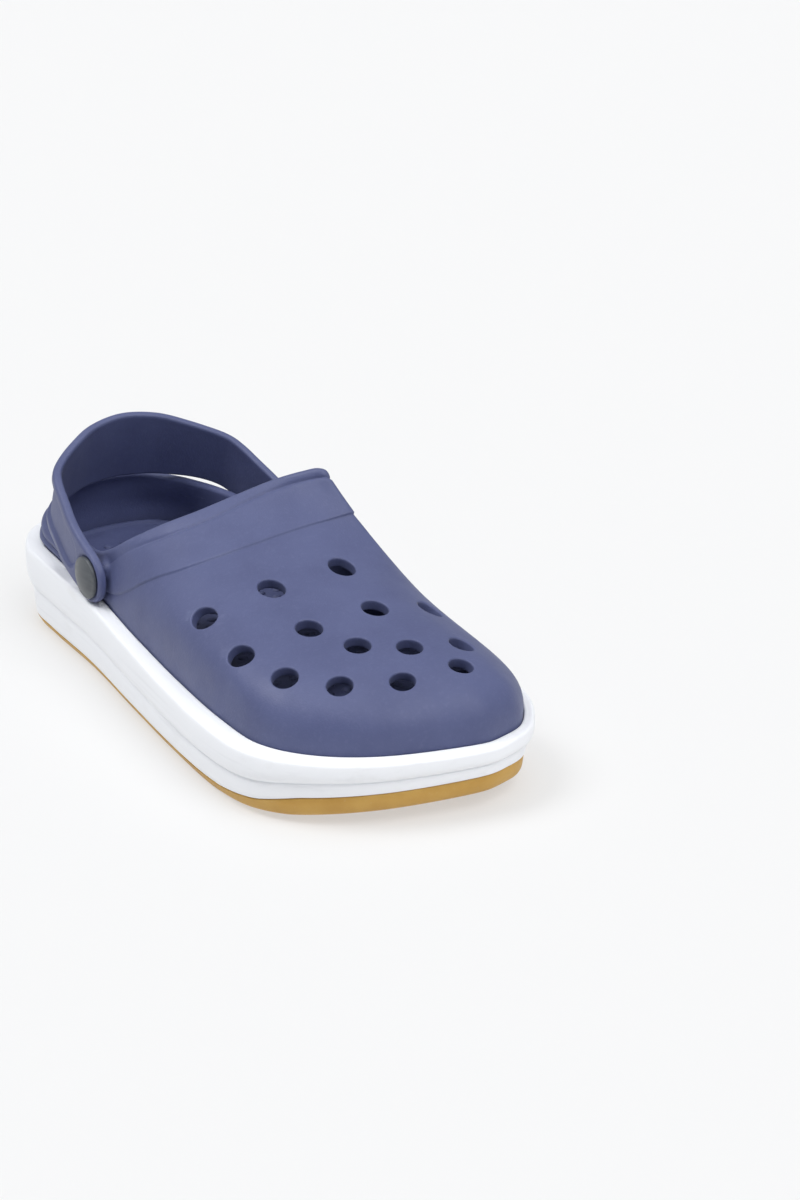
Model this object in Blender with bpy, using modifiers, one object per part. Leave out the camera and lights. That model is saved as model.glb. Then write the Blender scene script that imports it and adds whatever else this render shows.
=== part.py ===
"""Rubber garden clog, right foot: a ventilated foam upper on a foam midsole and a rubber outsole,
with a footbed inside and a heel strap that swings on two snap rivets.

Metres, +Z up. The toe points to -Y, the heel to +Y and the inner (medial) side of the foot to +X.
The origin is on the ground under the middle of the shoe. The strap's axis runs along X.
"""
import math

import bmesh
import bpy
from mathutils import Matrix, Vector

MM = 0.001

# Driving dimensions
LENGTH = 284 * MM            # over the midsole's rim, heel to toe
WIDTH = 122 * MM             # over the midsole's rim, at the ball of the foot
GAP = 0.3 * MM               # between pieces that touch
WALL = 4.5 * MM              # thickness of the upper
FOOTBED = 4.5 * MM           # thickness of the footbed
RING = 72                    # points round the shoe in every ring
LEVELS = 15                  # rings up the side of the upper

# Tables of (place along Y, value) in mm, toe to heel
GROUND = [(-142, 7), (-110, 2.5), (-70, 0), (110, 0), (142, 2)]
OUTSOLE_TOP = [(-142, 15), (-114, 11.5), (-98, 7.5), (-75, 5), (-40, 4.4), (110, 4.4), (142, 6)]
LEDGE = [(-142, 27), (-90, 27.3), (-30, 30), (40, 34), (142, 36.5)]
SEAT = [(-142, 19.8), (142, 22.5)]                       # the midsole's recess, a flat floor
STEP_SHARE = 0.40            # the midsole's step, as a share of the way from outsole to ledge

# Plan of the midsole's rim, toe first and then up the lateral side (mm)
RIM_POINTS = [
    (14, -139), (-20, -130), (-45, -114), (-59, -93), (-62, -66), (-60, -30), (-56, 10),
    (-51, 55), (-49, 95), (-46, 118), (-32, 136), (-5, 143), (23, 138), (40, 118), (45, 85),
    (46, 40), (50, -5), (56, -45), (60, -80), (57, -108), (44, -129), (30, -137),
]

# Outer edge of the foot opening: front, down the lateral side, round the heel and back (mm)
OPENING_POINTS = [
    (4, 17, 80), (-14, 18, 76), (-27, 22, 72), (-37, 31, 65), (-41, 43, 57), (-41, 58, 51),
    (-40.5, 72, 50), (-39, 86, 50.5), (-36.5, 101, 52.5), (-30, 117, 54.3), (-17, 127, 55.5),
    (-2, 130, 55.5), (14, 127, 55.5), (27, 117, 54), (34, 101, 54), (37, 86, 54.5), (39, 70, 55),
    (40, 54, 58), (40.5, 38, 65), (40.6, 24, 73), (39.6, 11, 82), (35.8, 4, 88.5), (29, 8, 87.5),
    (18, 14, 84),
]
# Tables by share of the way round the sole, toe first: the ledge's width (mm), where the opening
# is joined to it, and the two handles of the curve up the side, as shares of its rise
LEDGE_WIDTH = [(0, 5.5), (0.08, 6), (0.15, 8), (0.3, 5.5), (0.42, 6.5), (0.5, 8), (0.6, 6.5),
               (0.7, 5), (0.83, 5), (0.9, 3.5), (0.95, 2.5), (1, 5.5)]
OPENING_SHARES = [(0, 0), (0.325, 0.175), (0.5, 0.48), (0.703, 0.775), (1, 1)]
SHOULDER = [(0, 0.72), (0.12, 0.66), (0.3, 0.55), (0.5, 0.5), (0.72, 0.3), (0.82, 0.1),
            (0.9, 0.2), (0.94, 0.45), (0.97, 0.66), (1, 0.72)]
COLLAR = [(0, 0.62), (0.12, 0.54), (0.3, 0.45), (0.5, 0.4), (0.72, 0.5), (0.84, 0.74),
          (0.92, 0.74), (0.97, 0.66), (1, 0.62)]

# Vent holes (x, y in mm): the lateral side, the middle, the toe and the medial side
VENT_RADIUS = 5.3 * MM       # across the foot
VENT_STRETCH = [(-116, 0.88), (-100, 1), (-70, 1.15), (-37, 1.25)]     # along the foot, by y
VENT_POINTS = [
    (-41.5, -37), (-13.5, -40), (18, -40), (-43, -68), (-15, -70.5), (14, -70.5), (38, -72),
    (-37, -90), (-5.5, -89.5), (11, -99.5), (32.5, -102), (-23, -105.5), (-2, -115), (23, -116),
]

# Heel strap, drawn level along +Y from its pivot and then tilted
PIVOT_Y = 46 * MM
PIVOT_Z = 45.3 * MM
STRAP_TILT = math.radians(21)
STRAP_THICKNESS = 3.8 * MM
STRAP_INSIDE = 46.1 * MM     # half the width inside the strap at the pivot
STRAP_PLAN = [               # (place along the strap, half-width outside) in mm
    (-10.2, 50.1), (0, 50.1), (12, 50.1), (22, 49.4), (34, 47.2), (45, 45), (53, 42), (60, 36),
    (67, 27), (73.4, 15.5), (76.4, 0),
]
LOBE_RADIUS = 10.6 * MM      # rounded end of the strap
STRAP_HALF_HEIGHT = [        # (place along the strap, half its height) in mm, past the pivot
    (0, 10.6), (30, 12), (50, 13.1), (62, 13.3), (70, 15.3), (76.4, 16.8),
]
STRAP_EDGE = 0.9 * MM        # chamfer along the strap's edges
STRAP_FACE = 1               # the strip is the outer face: its thickness goes inwards

# Snap rivets, along X through the strap's ends and the upper's walls
BOSS_X = 45.8 * MM           # face of the pad outside the wall
BOSS_RADIUS = 10.2 * MM
SOCKET_X = {-1: 39.8 * MM, 1: 36.4 * MM}     # flat spot inside the wall, lateral and medial
STEM_RADIUS = 3.0 * MM
RUNNING_FIT = 0.08 * MM      # radial clearance of the strap's hole on the stem
CAP_RADIUS = 8.7 * MM
CAP_HEIGHT = 2.8 * MM
SOCKET_RADIUS = 7.0 * MM
SOCKET_HEIGHT = 2.8 * MM
SIDE_NAME = {-1: "lateral", 1: "medial"}


def station(table, y):
    """Value at place y (metres) from a table of (mm, mm)."""
    return MM * lookup(table, y / MM)


def lookup(table, place):
    """Value between the rows of a table."""
    if place <= table[0][0]:
        return table[0][1]
    for (low, first), (high, second) in zip(table, table[1:]):
        if place <= high:
            return first + (second - first) * (place - low) / (high - low)
    return table[-1][1]


def fine_curve(points, closed=True, steps=24):
    """Catmull-Rom curve through points given in mm."""
    points = [Vector(p) * MM for p in points]
    n = len(points)
    fine = []
    for i in range(n if closed else n - 1):
        if closed:
            a, b, c, d = (points[(i + k) % n] for k in (-1, 0, 1, 2))
        else:
            a, b, c, d = (points[min(max(i + k, 0), n - 1)] for k in (-1, 0, 1, 2))
        for step in range(steps):
            t = step / steps
            fine.append(0.5 * (2 * b + (c - a) * t + (2 * a - 5 * b + 4 * c - d) * t ** 2
                               + (3 * b - a - 3 * c + d) * t ** 3))
    fine.append(points[0] if closed else points[-1])
    return fine


def along_curve(fine, shares):
    """Points of a fine curve at rising shares of its length."""
    lengths = [0.0]
    for a, b in zip(fine, fine[1:]):
        lengths.append(lengths[-1] + (b - a).length)
    result, i = [], 0
    for share in shares:
        target = lengths[-1] * share
        while i < len(fine) - 2 and lengths[i + 1] < target:
            i += 1
        t = (target - lengths[i]) / (lengths[i + 1] - lengths[i])
        result.append(fine[i].lerp(fine[i + 1], t))
    return result


def rim_outline():
    """Plan of the midsole's rim, scaled to the shoe's length and width and centred on the origin."""
    shares = [k / RING for k in range(RING)]
    points = along_curve(fine_curve([(x, y, 0) for x, y in RIM_POINTS]), shares)
    low = [min(p[k] for p in points) for k in (0, 1)]
    high = [max(p[k] for p in points) for k in (0, 1)]
    for p in points:
        p.x = (p.x - (low[0] + high[0]) / 2) * WIDTH / (high[0] - low[0])
        p.y = (p.y - (low[1] + high[1]) / 2) * LENGTH / (high[1] - low[1])
    return points


def inset(outline, distance):
    """Clockwise outline moved inwards in plan by a distance, or by one distance for each point."""
    n = len(outline)
    moved = []
    for i, p in enumerate(outline):
        along = (outline[(i + 1) % n] - outline[i - 1]).normalized()
        amount = distance[i] if isinstance(distance, list) else distance
        moved.append(p + Vector((along.y, -along.x, 0)) * amount)
    return moved


def inside_ledge(clearance):
    """Plan of the midsole's ledge's inner edge, drawn in by a clearance."""
    widths = [lookup(LEDGE_WIDTH, k / RING) * MM + clearance for k in range(RING)]
    return inset(rim_outline(), widths)


def at_height(outline, height):
    """Outline with its heights given by a function of the point."""
    return [Vector((p.x, p.y, height(p))) for p in outline]


def close_end(mesh, row):
    """Cap a ring with strips from side to side, so that a sole that rises and falls stays true."""
    n = len(row)
    mesh.faces.new((row[0], row[1], row[-1]))
    for i in range(1, n // 2 - 1):
        mesh.faces.new((row[i], row[i + 1], row[n - i - 1], row[n - i]))
    mesh.faces.new((row[n // 2 - 1], row[n // 2], row[n // 2 + 1]))


def loft(name, rings, material, collection):
    """Closed body through a stack of rings, capped at both ends, its faces pointing out."""
    mesh = bmesh.new()
    rows = [[mesh.verts.new(p) for p in ring] for ring in rings]
    n = len(rows[0])
    for lower, upper in zip(rows, rows[1:]):
        for i in range(n):
            mesh.faces.new((lower[i], lower[(i + 1) % n], upper[(i + 1) % n], upper[i]))
    close_end(mesh, rows[0])
    close_end(mesh, rows[-1])
    bmesh.ops.recalc_face_normals(mesh, faces=mesh.faces)
    return place_mesh(name, mesh, material, collection)


def place_mesh(name, mesh, material, collection):
    """Object made from a bmesh, shaded smooth where its faces meet softly."""
    data = bpy.data.meshes.new(name)
    mesh.to_mesh(data)
    mesh.free()
    data.shade_smooth()
    data.set_sharp_from_angle(angle=math.radians(35))
    item = bpy.data.objects.new(name, data)
    if material:
        data.materials.append(material)
    collection.objects.link(item)
    return item


def make_material(name, colour, roughness):
    material = bpy.data.materials.new(name)
    material.use_nodes = True
    shader = material.node_tree.nodes["Principled BSDF"]
    shader.inputs["Base Color"].default_value = (*colour, 1)
    shader.inputs["Roughness"].default_value = roughness
    shader.inputs["Metallic"].default_value = 0.0
    return material


def combine(item, other, operation):
    """Boolean with an object that is kept out of the build."""
    other.hide_render = True
    other.display_type = "WIRE"
    modifier = item.modifiers.new(operation.lower() + " " + other.name, "BOOLEAN")
    modifier.operation = operation
    modifier.solver = "EXACT"
    modifier.object = other


def add_rod(mesh, start, end, radius, sides=32):
    """Cylinder along X."""
    turn = Matrix.Rotation(math.radians(90), 4, "Y")
    middle = Matrix.Translation(((start + end) / 2, 0, 0))
    bmesh.ops.create_cone(mesh, cap_ends=True, segments=sides, radius1=radius, radius2=radius,
                          depth=abs(end - start), matrix=middle @ turn)


def turned(name, side, profile, material, collection, closed=False):
    """Solid turned about the pivot's axis from (radius, distance out along X) points, which run
    from the outer end inwards. A closed profile makes a ring."""
    mesh = bmesh.new()
    row = [mesh.verts.new((radius, 0, out)) for radius, out in profile]
    for start, end in zip(row, row[1:] + row[:1] if closed else row[1:]):
        mesh.edges.new((start, end))
    item = place_mesh(name, mesh, material, collection)
    screw = item.modifiers.new("turned", "SCREW")
    screw.angle = 2 * math.pi
    screw.steps = screw.render_steps = 32
    screw.use_merge_vertices = True
    screw.merge_threshold = 0.0001
    item.location = (0, PIVOT_Y, PIVOT_Z)
    item.rotation_euler = (0, side * math.radians(90), 0)
    return item


def ledge_height(p):
    return station(LEDGE, p.y)


def outsole_top(p):
    return station(OUTSOLE_TOP, p.y)


def ground(p):
    return station(GROUND, p.y)


def seat_height(p):
    """Floor of the recess in the midsole."""
    return station(SEAT, p.y)


def floor_height(p):
    """Inside floor of the upper."""
    return seat_height(p) + GAP + WALL


def make_outsole(collection):
    """Gum rubber sole, turned under at the ground, its edge just inside the midsole's."""
    rim = rim_outline()
    rings = [
        at_height(inset(rim, 8.0 * MM), ground),
        at_height(inset(rim, 5.4 * MM), lambda p: ground(p) + 0.8 * MM),
        at_height(inset(rim, 4.2 * MM), lambda p: ground(p) + 2.6 * MM),
        at_height(inset(rim, 3.6 * MM), lambda p: outsole_top(p) - GAP),
    ]
    return loft("outsole", rings, make_material("gum rubber", (0.50, 0.27, 0.07), 0.55), collection)


def make_midsole(collection):
    """White foam tray: a recessed lower band, a step out to the rim, a ledge and a seat."""
    rim = rim_outline()

    def part_way(share):
        return lambda p: outsole_top(p) + share * (ledge_height(p) - outsole_top(p))

    seat = inside_ledge(1.0 * MM)
    rings = [
        at_height(inset(rim, 3.4 * MM), outsole_top),
        at_height(inset(rim, 2.6 * MM), part_way(STEP_SHARE)),
        at_height(inset(rim, 0.6 * MM), part_way(STEP_SHARE + 0.12)),
        at_height(rim, part_way(STEP_SHARE + 0.30)),
        at_height(inset(rim, 0.7 * MM), lambda p: ledge_height(p) - 1.5 * MM),
        at_height(inset(rim, 2.0 * MM), ledge_height),
        at_height(seat, ledge_height),
        at_height(seat, seat_height),
    ]
    return loft("midsole", rings, make_material("white foam", (0.80, 0.83, 0.88), 0.6), collection)


def upper_outline():
    """Plan of the upper where it stands in the midsole's seat."""
    return inside_ledge(1.0 * MM + GAP)


def side_point(low, high, round_share, s):
    """Point at share s of the way from the ledge to the edge of the opening: the wall leaves the
    ledge upright, then turns over to lie along the vamp."""
    reach = Vector((high.x - low.x, high.y - low.y, 0))
    rise = Vector((0, 0, high.z - low.z))
    lean = min(reach.length / (70 * MM), 1.0)
    shoulder = low + rise * lookup(SHOULDER, round_share) - reach.normalized() * 3 * MM * lean
    before = high - reach * (0.3 + 0.3 * lean) - rise * lookup(COLLAR, round_share)
    return ((1 - s) ** 3 * low + 3 * (1 - s) ** 2 * s * shoulder
            + 3 * (1 - s) * s ** 2 * before + s ** 3 * high)


def upper_surface():
    """Outer surface of the upper as rings, from the ledge up to the edge of the opening."""
    base = at_height(upper_outline(), ledge_height)
    shares = [lookup(OPENING_SHARES, k / RING) for k in range(RING)]
    opening = along_curve(fine_curve(OPENING_POINTS), shares)
    return [[side_point(base[i], opening[i], i / RING, level / (LEVELS - 1)) for i in range(RING)]
            for level in range(LEVELS)]


def ring_normals(rings):
    """Outward normal at every point of a stack of clockwise rings."""
    normals = []
    for k, ring in enumerate(rings):
        above = rings[min(k + 1, len(rings) - 1)]
        below = rings[max(k - 1, 0)]
        row = []
        for i in range(len(ring)):
            along = ring[(i + 1) % len(ring)] - ring[i - 1]
            row.append((above[i] - below[i]).cross(along).normalized())
        normals.append(row)
    return normals


def make_upper(collection, cutters):
    """One-piece foam clog: floor, walls, vented vamp and low heel cup, all one wall thick."""
    outside = upper_surface()
    normals = ring_normals(outside)
    inside = [[p - n * WALL for p, n in zip(ring, row)] for ring, row in zip(outside, normals)]
    foot = upper_outline()
    rings = [at_height(foot, lambda p: seat_height(p) + GAP)]
    rings += outside
    rings += inside[::-1]
    rings.append(at_height(inset(foot, WALL), floor_height))
    upper = loft("upper", rings, make_material("navy foam", (0.10, 0.11, 0.25), 0.6), collection)
    for side in (-1, 1):
        combine(upper, make_boss(side, cutters), "UNION")
        combine(upper, make_rivet_seat(side, cutters), "DIFFERENCE")
    combine(upper, make_vent_pins(outside, normals, cutters), "DIFFERENCE")
    return upper


def make_boss(side, cutters):
    """Round pad outside the wall that the strap's end lies against."""
    mesh = bmesh.new()
    add_rod(mesh, side * (SOCKET_X[side] + 2 * MM), side * BOSS_X, BOSS_RADIUS)
    boss = place_mesh(SIDE_NAME[side] + " boss", mesh, None, cutters)
    boss.location = (0, PIVOT_Y, PIVOT_Z)
    return boss


def make_rivet_seat(side, cutters):
    """Stem hole through the wall, with a flat spot for the socket inside."""
    profile = [
        (0, BOSS_X + 2 * MM), (STEM_RADIUS + GAP, BOSS_X + 2 * MM), (STEM_RADIUS + GAP, SOCKET_X[side]),
        (SOCKET_RADIUS + GAP, SOCKET_X[side]), (SOCKET_RADIUS + GAP, SOCKET_X[side] - 9 * MM),
        (0, SOCKET_X[side] - 9 * MM),
    ]
    return turned(SIDE_NAME[side] + " rivet seat", side, profile, None, cutters)


def make_vent_pins(rings, normals, cutters):
    """One oval pin for every vent hole, square to the vamp."""
    mesh = bmesh.new()
    spots = [(p, n) for ring, row in zip(rings, normals) for p, n in zip(ring, row)]
    for x, y in VENT_POINTS:
        place = Vector((x, y)) * MM
        near, normal = min(spots, key=lambda spot: (spot[0].xy - place).length - spot[0].z * 0.2)
        drop = (place - near.xy).dot(normal.xy) / normal.z
        middle = Vector((place.x, place.y, near.z - drop))
        across = normal.cross(Vector((0, 1, 0))).normalized()
        turn = Matrix((across, normal.cross(across), normal)).transposed().to_4x4()
        oval = Matrix.Diagonal((1, lookup(VENT_STRETCH, y), 1, 1))
        bmesh.ops.create_cone(mesh, cap_ends=True, segments=20, radius1=VENT_RADIUS,
                              radius2=VENT_RADIUS, depth=20 * MM,
                              matrix=Matrix.Translation(middle) @ turn @ oval)
    return place_mesh("vent pins", mesh, None, cutters)


def make_footbed(collection):
    """Foam insole on the floor of the upper, its top edge rounded off."""
    foot = inset(upper_outline(), WALL + 1.0 * MM)

    def above_floor(rise):
        return lambda p: floor_height(p) + GAP + rise

    rings = [
        at_height(foot, above_floor(0)),
        at_height(foot, above_floor(FOOTBED - 1.5 * MM)),
        at_height(inset(foot, 1.5 * MM), above_floor(FOOTBED)),
    ]
    return loft("footbed", rings, make_material("dark foam", (0.05, 0.055, 0.12), 0.8), collection)


def strap_path(count=48):
    """Outside of the strap in plan, from one rounded end to the other, evenly spaced."""
    half = [(-width, along, 0) for along, width in STRAP_PLAN]
    other = [(-x, y, z) for x, y, z in half[-2::-1]]
    return along_curve(fine_curve(half + other, closed=False), [k / count for k in range(count + 1)])


def strap_half_height(p):
    """Half the strap's height: a round end about the pivot, then growing to the back."""
    if p.y < 0:
        return math.sqrt(LOBE_RADIUS ** 2 - p.y ** 2)
    return station(STRAP_HALF_HEIGHT, p.y)


def make_strap(collection, cutters):
    """Band round the heel: a thickened strip with chamfered edges and a stem hole in each end."""
    mesh = bmesh.new()
    rows = []
    for p in strap_path():
        up = Vector((0, 0, strap_half_height(p)))
        rows.append((mesh.verts.new(p - up), mesh.verts.new(p + up)))
    for (low, high), (next_low, next_high) in zip(rows, rows[1:]):
        mesh.faces.new((low, next_low, next_high, high))
    strap = place_mesh("heel_strap", mesh, make_material("strap foam", (0.10, 0.11, 0.25), 0.6),
                       collection)
    thickness = strap.modifiers.new("thickness", "SOLIDIFY")
    thickness.thickness = STRAP_THICKNESS
    thickness.offset = STRAP_FACE
    chamfer = strap.modifiers.new("chamfer", "BEVEL")
    chamfer.width = STRAP_EDGE
    chamfer.segments = 1
    chamfer.limit_method = "ANGLE"
    chamfer.angle_limit = math.radians(50)
    mesh = bmesh.new()
    add_rod(mesh, -60 * MM, 60 * MM, STEM_RADIUS + RUNNING_FIT)
    hole = place_mesh("strap stem hole", mesh, None, cutters)
    combine(strap, hole, "DIFFERENCE")
    for item in (strap, hole):
        item.location = (0, PIVOT_Y, PIVOT_Z)
    strap.rotation_euler = (STRAP_TILT, 0, 0)
    return strap


def make_rivets(side, collection):
    """Domed rivet through strap and wall, and the socket it snaps into inside."""
    outer = STRAP_INSIDE + STRAP_THICKNESS + GAP
    inner = SOCKET_X[side] - GAP
    rim = outer + 1.2 * MM
    dark = make_material(SIDE_NAME[side] + " rivet plastic", (0.05, 0.055, 0.07), 0.4)
    profile = []
    for step in range(4, 0, -1):
        angle = math.radians(22.5 * step)
        profile.append((CAP_RADIUS * math.cos(angle),
                        rim + (CAP_HEIGHT - 1.2 * MM) * math.sin(angle)))
    profile += [(CAP_RADIUS, rim), (CAP_RADIUS, outer), (STEM_RADIUS, outer), (STEM_RADIUS, inner),
                (STEM_RADIUS - 0.4 * MM, inner - SOCKET_HEIGHT + 0.6 * MM),
                (0, inner - SOCKET_HEIGHT + 0.6 * MM)]
    turned(SIDE_NAME[side] + "_rivet", side, profile, dark, collection)
    ring = [(SOCKET_RADIUS, inner), (SOCKET_RADIUS, inner - SOCKET_HEIGHT + 1 * MM),
            (SOCKET_RADIUS - 1 * MM, inner - SOCKET_HEIGHT),
            (STEM_RADIUS + GAP, inner - SOCKET_HEIGHT), (STEM_RADIUS + GAP, inner)]
    turned(SIDE_NAME[side] + "_rivet_socket", side, ring, dark, collection, closed=True)


def main():
    for item in list(bpy.data.objects):
        bpy.data.objects.remove(item, do_unlink=True)
    shoe = bpy.data.collections.new("garden_clog")
    cutters = bpy.data.collections.new("cutters")
    for collection in (shoe, cutters):
        bpy.context.scene.collection.children.link(collection)
    make_outsole(shoe)
    make_midsole(shoe)
    make_upper(shoe, cutters)
    make_footbed(shoe)
    make_strap(shoe, cutters)
    for side in (-1, 1):
        make_rivets(side, shoe)


main()
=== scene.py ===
"""Looks of the rubber garden clog: foam upper with vents, white midsole, gum outsole, heel strap.

Shapes are worked out in millimetres, in the same frame as the CAD model, and turned into metres
when their meshes are made. The toe points to -Y and the inner side of the foot to +X.
"""
import math

import bmesh
import bpy
import numpy as np
from mathutils import Matrix, Vector


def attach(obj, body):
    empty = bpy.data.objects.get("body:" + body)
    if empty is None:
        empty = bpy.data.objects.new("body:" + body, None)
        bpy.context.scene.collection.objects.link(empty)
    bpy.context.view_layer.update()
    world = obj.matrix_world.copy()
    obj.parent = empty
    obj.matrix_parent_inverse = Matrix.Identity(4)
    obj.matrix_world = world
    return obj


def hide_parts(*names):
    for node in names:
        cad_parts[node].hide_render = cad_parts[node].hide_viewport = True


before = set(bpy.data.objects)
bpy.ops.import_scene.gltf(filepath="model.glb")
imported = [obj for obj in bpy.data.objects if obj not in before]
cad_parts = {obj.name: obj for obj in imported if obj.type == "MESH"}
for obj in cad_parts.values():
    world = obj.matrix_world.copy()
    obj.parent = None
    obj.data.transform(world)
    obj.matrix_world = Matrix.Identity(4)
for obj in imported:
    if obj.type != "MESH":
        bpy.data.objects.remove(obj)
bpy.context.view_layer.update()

MM = 0.001
COLUMNS = 288                # points round the shoe in every ring
TURNED_SIDES = 96            # points round a rivet or a socket

# Driving dimensions (mm). The shoe's own are the CAD model's; where a detail differs, it says so.
LENGTH = 284
WIDTH = 122
GAP = 0.3
WALL = 4.5
FOOTBED = 4.5
GROUND = [(-142, 7), (-110, 2.5), (-70, 0), (110, 0), (142, 2)]
OUTSOLE_TOP = [(-142, 15), (-114, 11.5), (-98, 7.5), (-75, 5), (-40, 4.4), (110, 4.4), (142, 6)]
LEDGE = [(-142, 27), (-90, 27.3), (-30, 30), (40, 34), (142, 36.5)]
SEAT = [(-142, 19.8), (142, 22.5)]

# Plan of the midsole's rim, toe first and then up the lateral side
RIM_POINTS = [
    (14, -139), (-20, -130), (-45, -114), (-59, -93), (-62, -66), (-60, -30), (-56, 10),
    (-51, 55), (-49, 95), (-46, 118), (-32, 136), (-5, 143), (23, 138), (40, 118), (45, 85),
    (46, 40), (50, -5), (56, -45), (60, -80), (57, -108), (44, -129), (30, -137),
]
# Edge of the foot opening: front, down the lateral side, round the heel and back
OPENING_POINTS = [
    (4, 17, 80), (-14, 18, 76), (-27, 22, 72), (-37, 31, 65), (-41, 43, 57), (-41, 58, 51),
    (-40.5, 72, 50), (-39, 86, 50.5), (-36.5, 101, 52.5), (-30, 117, 54.3), (-17, 127, 55.5),
    (-2, 130, 55.5), (14, 127, 55.5), (27, 117, 54), (34, 101, 54), (37, 86, 54.5), (39, 70, 55),
    (40, 54, 58), (40.5, 38, 65), (40.6, 24, 73), (39.6, 11, 82), (35.8, 4, 88.5), (29, 8, 87.5),
    (18, 14, 84),
]
# Tables by share of the way round the sole
LEDGE_WIDTH = [(0, 5.5), (0.08, 6), (0.15, 8), (0.3, 5.5), (0.42, 6.5), (0.5, 8), (0.6, 6.5),
               (0.7, 5), (0.83, 5), (0.9, 3.5), (0.95, 2.5), (1, 5.5)]
OPENING_SHARES = [(0, 0), (0.325, 0.175), (0.5, 0.48), (0.703, 0.775), (1, 1)]
SHOULDER = [(0, 0.72), (0.12, 0.66), (0.3, 0.55), (0.5, 0.5), (0.72, 0.3), (0.82, 0.1),
            (0.9, 0.2), (0.94, 0.45), (0.97, 0.66), (1, 0.72)]
COLLAR = [(0, 0.62), (0.12, 0.54), (0.3, 0.45), (0.5, 0.4), (0.72, 0.5), (0.84, 0.74),
          (0.92, 0.74), (0.97, 0.66), (1, 0.62)]

# Vent holes. Each bore is a little narrower than the CAD model's, 5.3, and its rims are rounded
# outside and inside, so that its mouth is a little wider.
VENT_POINTS = [
    (-41.5, -37), (-13.5, -40), (18, -40), (-43, -68), (-15, -70.5), (14, -70.5), (38, -72),
    (-37, -90), (-5.5, -89.5), (11, -99.5), (32.5, -102), (-23, -105.5), (-2, -115), (23, -116),
]
VENT_RADIUS = 4.95           # across the foot
VENT_STRETCH = [(-116, 0.88), (-100, 1), (-70, 1.17), (-37, 1.3)]      # along the foot, by y
VENT_ROUNDING = 0.75
VENT_SIDES = 48

# Strap and rivets, on the axis along X through the pivot
PIVOT = (0, 46, 45.3)
STRAP_TILT = math.radians(21)
STRAP_THICKNESS = 3.8
STRAP_INSIDE = 46.1
STRAP_PLAN = [               # (place along the strap, half-width outside); starts on the round end
    (-10.6, 50.1), (0, 50.1), (12, 50.1), (22, 49.4), (34, 47.2), (45, 45), (53, 42), (60, 36),
    (67, 27), (73.4, 15.5), (76.4, 0),
]
LOBE_RADIUS = 10.6
STRAP_HALF_HEIGHT = [(0, 10.6), (30, 12), (50, 13.1), (62, 13.3), (70, 15.3), (76.4, 16.8)]
BOSS_X = 45.8
BOSS_RADIUS = 7.0            # less than the CAD pad's, because this one blends into the wall
SOCKET_X = {-1: 39.8, 1: 36.4}
STEM_RADIUS = 3.0
CAP_RADIUS = 8.7
CAP_HEIGHT = 2.8
SOCKET_RADIUS = 7.0
SOCKET_HEIGHT = 2.8
SIDE_NAME = {-1: "lateral", 1: "medial"}


# Curves and tables

def at(table, places):
    """Values of a table of (place, value) at several places."""
    return np.interp(places, [row[0] for row in table], [row[1] for row in table])


def smoothstep(low, high, value):
    t = np.clip((value - low) / (high - low), 0, 1)
    return t * t * (3 - 2 * t)


def ease(values, reach=6):
    """Values round a ring, their corners smoothed over a few columns."""
    span = 3 * reach
    kernel = np.exp(-0.5 * (np.arange(-span, span + 1) / reach) ** 2)
    wrapped = np.concatenate([values[-span:], values, values[:span]])
    return np.convolve(wrapped, kernel / kernel.sum(), "valid")


def ease_line(values, reach=8):
    """Values along a line, their corners smoothed over a few steps."""
    span = 3 * reach
    kernel = np.exp(-0.5 * (np.arange(-span, span + 1) / reach) ** 2)
    return np.convolve(np.pad(values, span, mode="edge"), kernel / kernel.sum(), "valid")


def round_table(table):
    """A table by share of the way round, at every column."""
    shares = np.arange(COLUMNS) / COLUMNS
    return ease(at(table, shares))


def smooth_curve(points, closed=True, steps=24):
    """Catmull-Rom curve through points."""
    points = np.array(points, float)
    if closed:
        ring = np.concatenate([points[-1:], points, points[:2]])
    else:
        ring = np.concatenate([points[:1], points, points[-1:]])
    t = (np.arange(steps) / steps)[:, None]
    fine = []
    for a, b, c, d in zip(ring, ring[1:], ring[2:], ring[3:]):
        fine.append(0.5 * (2 * b + (c - a) * t + (2 * a - 5 * b + 4 * c - d) * t ** 2
                           + (3 * b - a - 3 * c + d) * t ** 3))
    fine.append(points[:1] if closed else points[-1:])
    return np.concatenate(fine)


def along_curve(fine, shares):
    """Points of a fine curve at shares of its length."""
    lengths = np.concatenate([[0], np.cumsum(np.linalg.norm(np.diff(fine, axis=0), axis=1))])
    return np.stack([np.interp(shares * lengths[-1], lengths, axis) for axis in fine.T], axis=1)


def rim_outline():
    """Plan of the midsole's rim, scaled to the shoe's length and width."""
    plan = along_curve(smooth_curve(RIM_POINTS), np.arange(COLUMNS) / COLUMNS)
    low, high = plan.min(axis=0), plan.max(axis=0)
    return (plan - (low + high) / 2) * (WIDTH, LENGTH) / (high - low)


def inset(plan, distance):
    """Clockwise plan moved inwards by a distance, or by one distance for each point."""
    along = np.roll(plan, -1, axis=0) - np.roll(plan, 1, axis=0)
    along /= np.linalg.norm(along, axis=1)[:, None]
    inwards = np.stack([along[:, 1], -along[:, 0]], axis=1)
    return plan + inwards * np.broadcast_to(distance, len(plan))[:, None]


def with_height(plan, heights):
    return np.column_stack([plan, np.broadcast_to(heights, len(plan))])


RIM = rim_outline()
FOOT = inset(RIM, round_table(LEDGE_WIDTH) + 1.0 + GAP)       # plan of the upper in the seat


# Meshes

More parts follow.
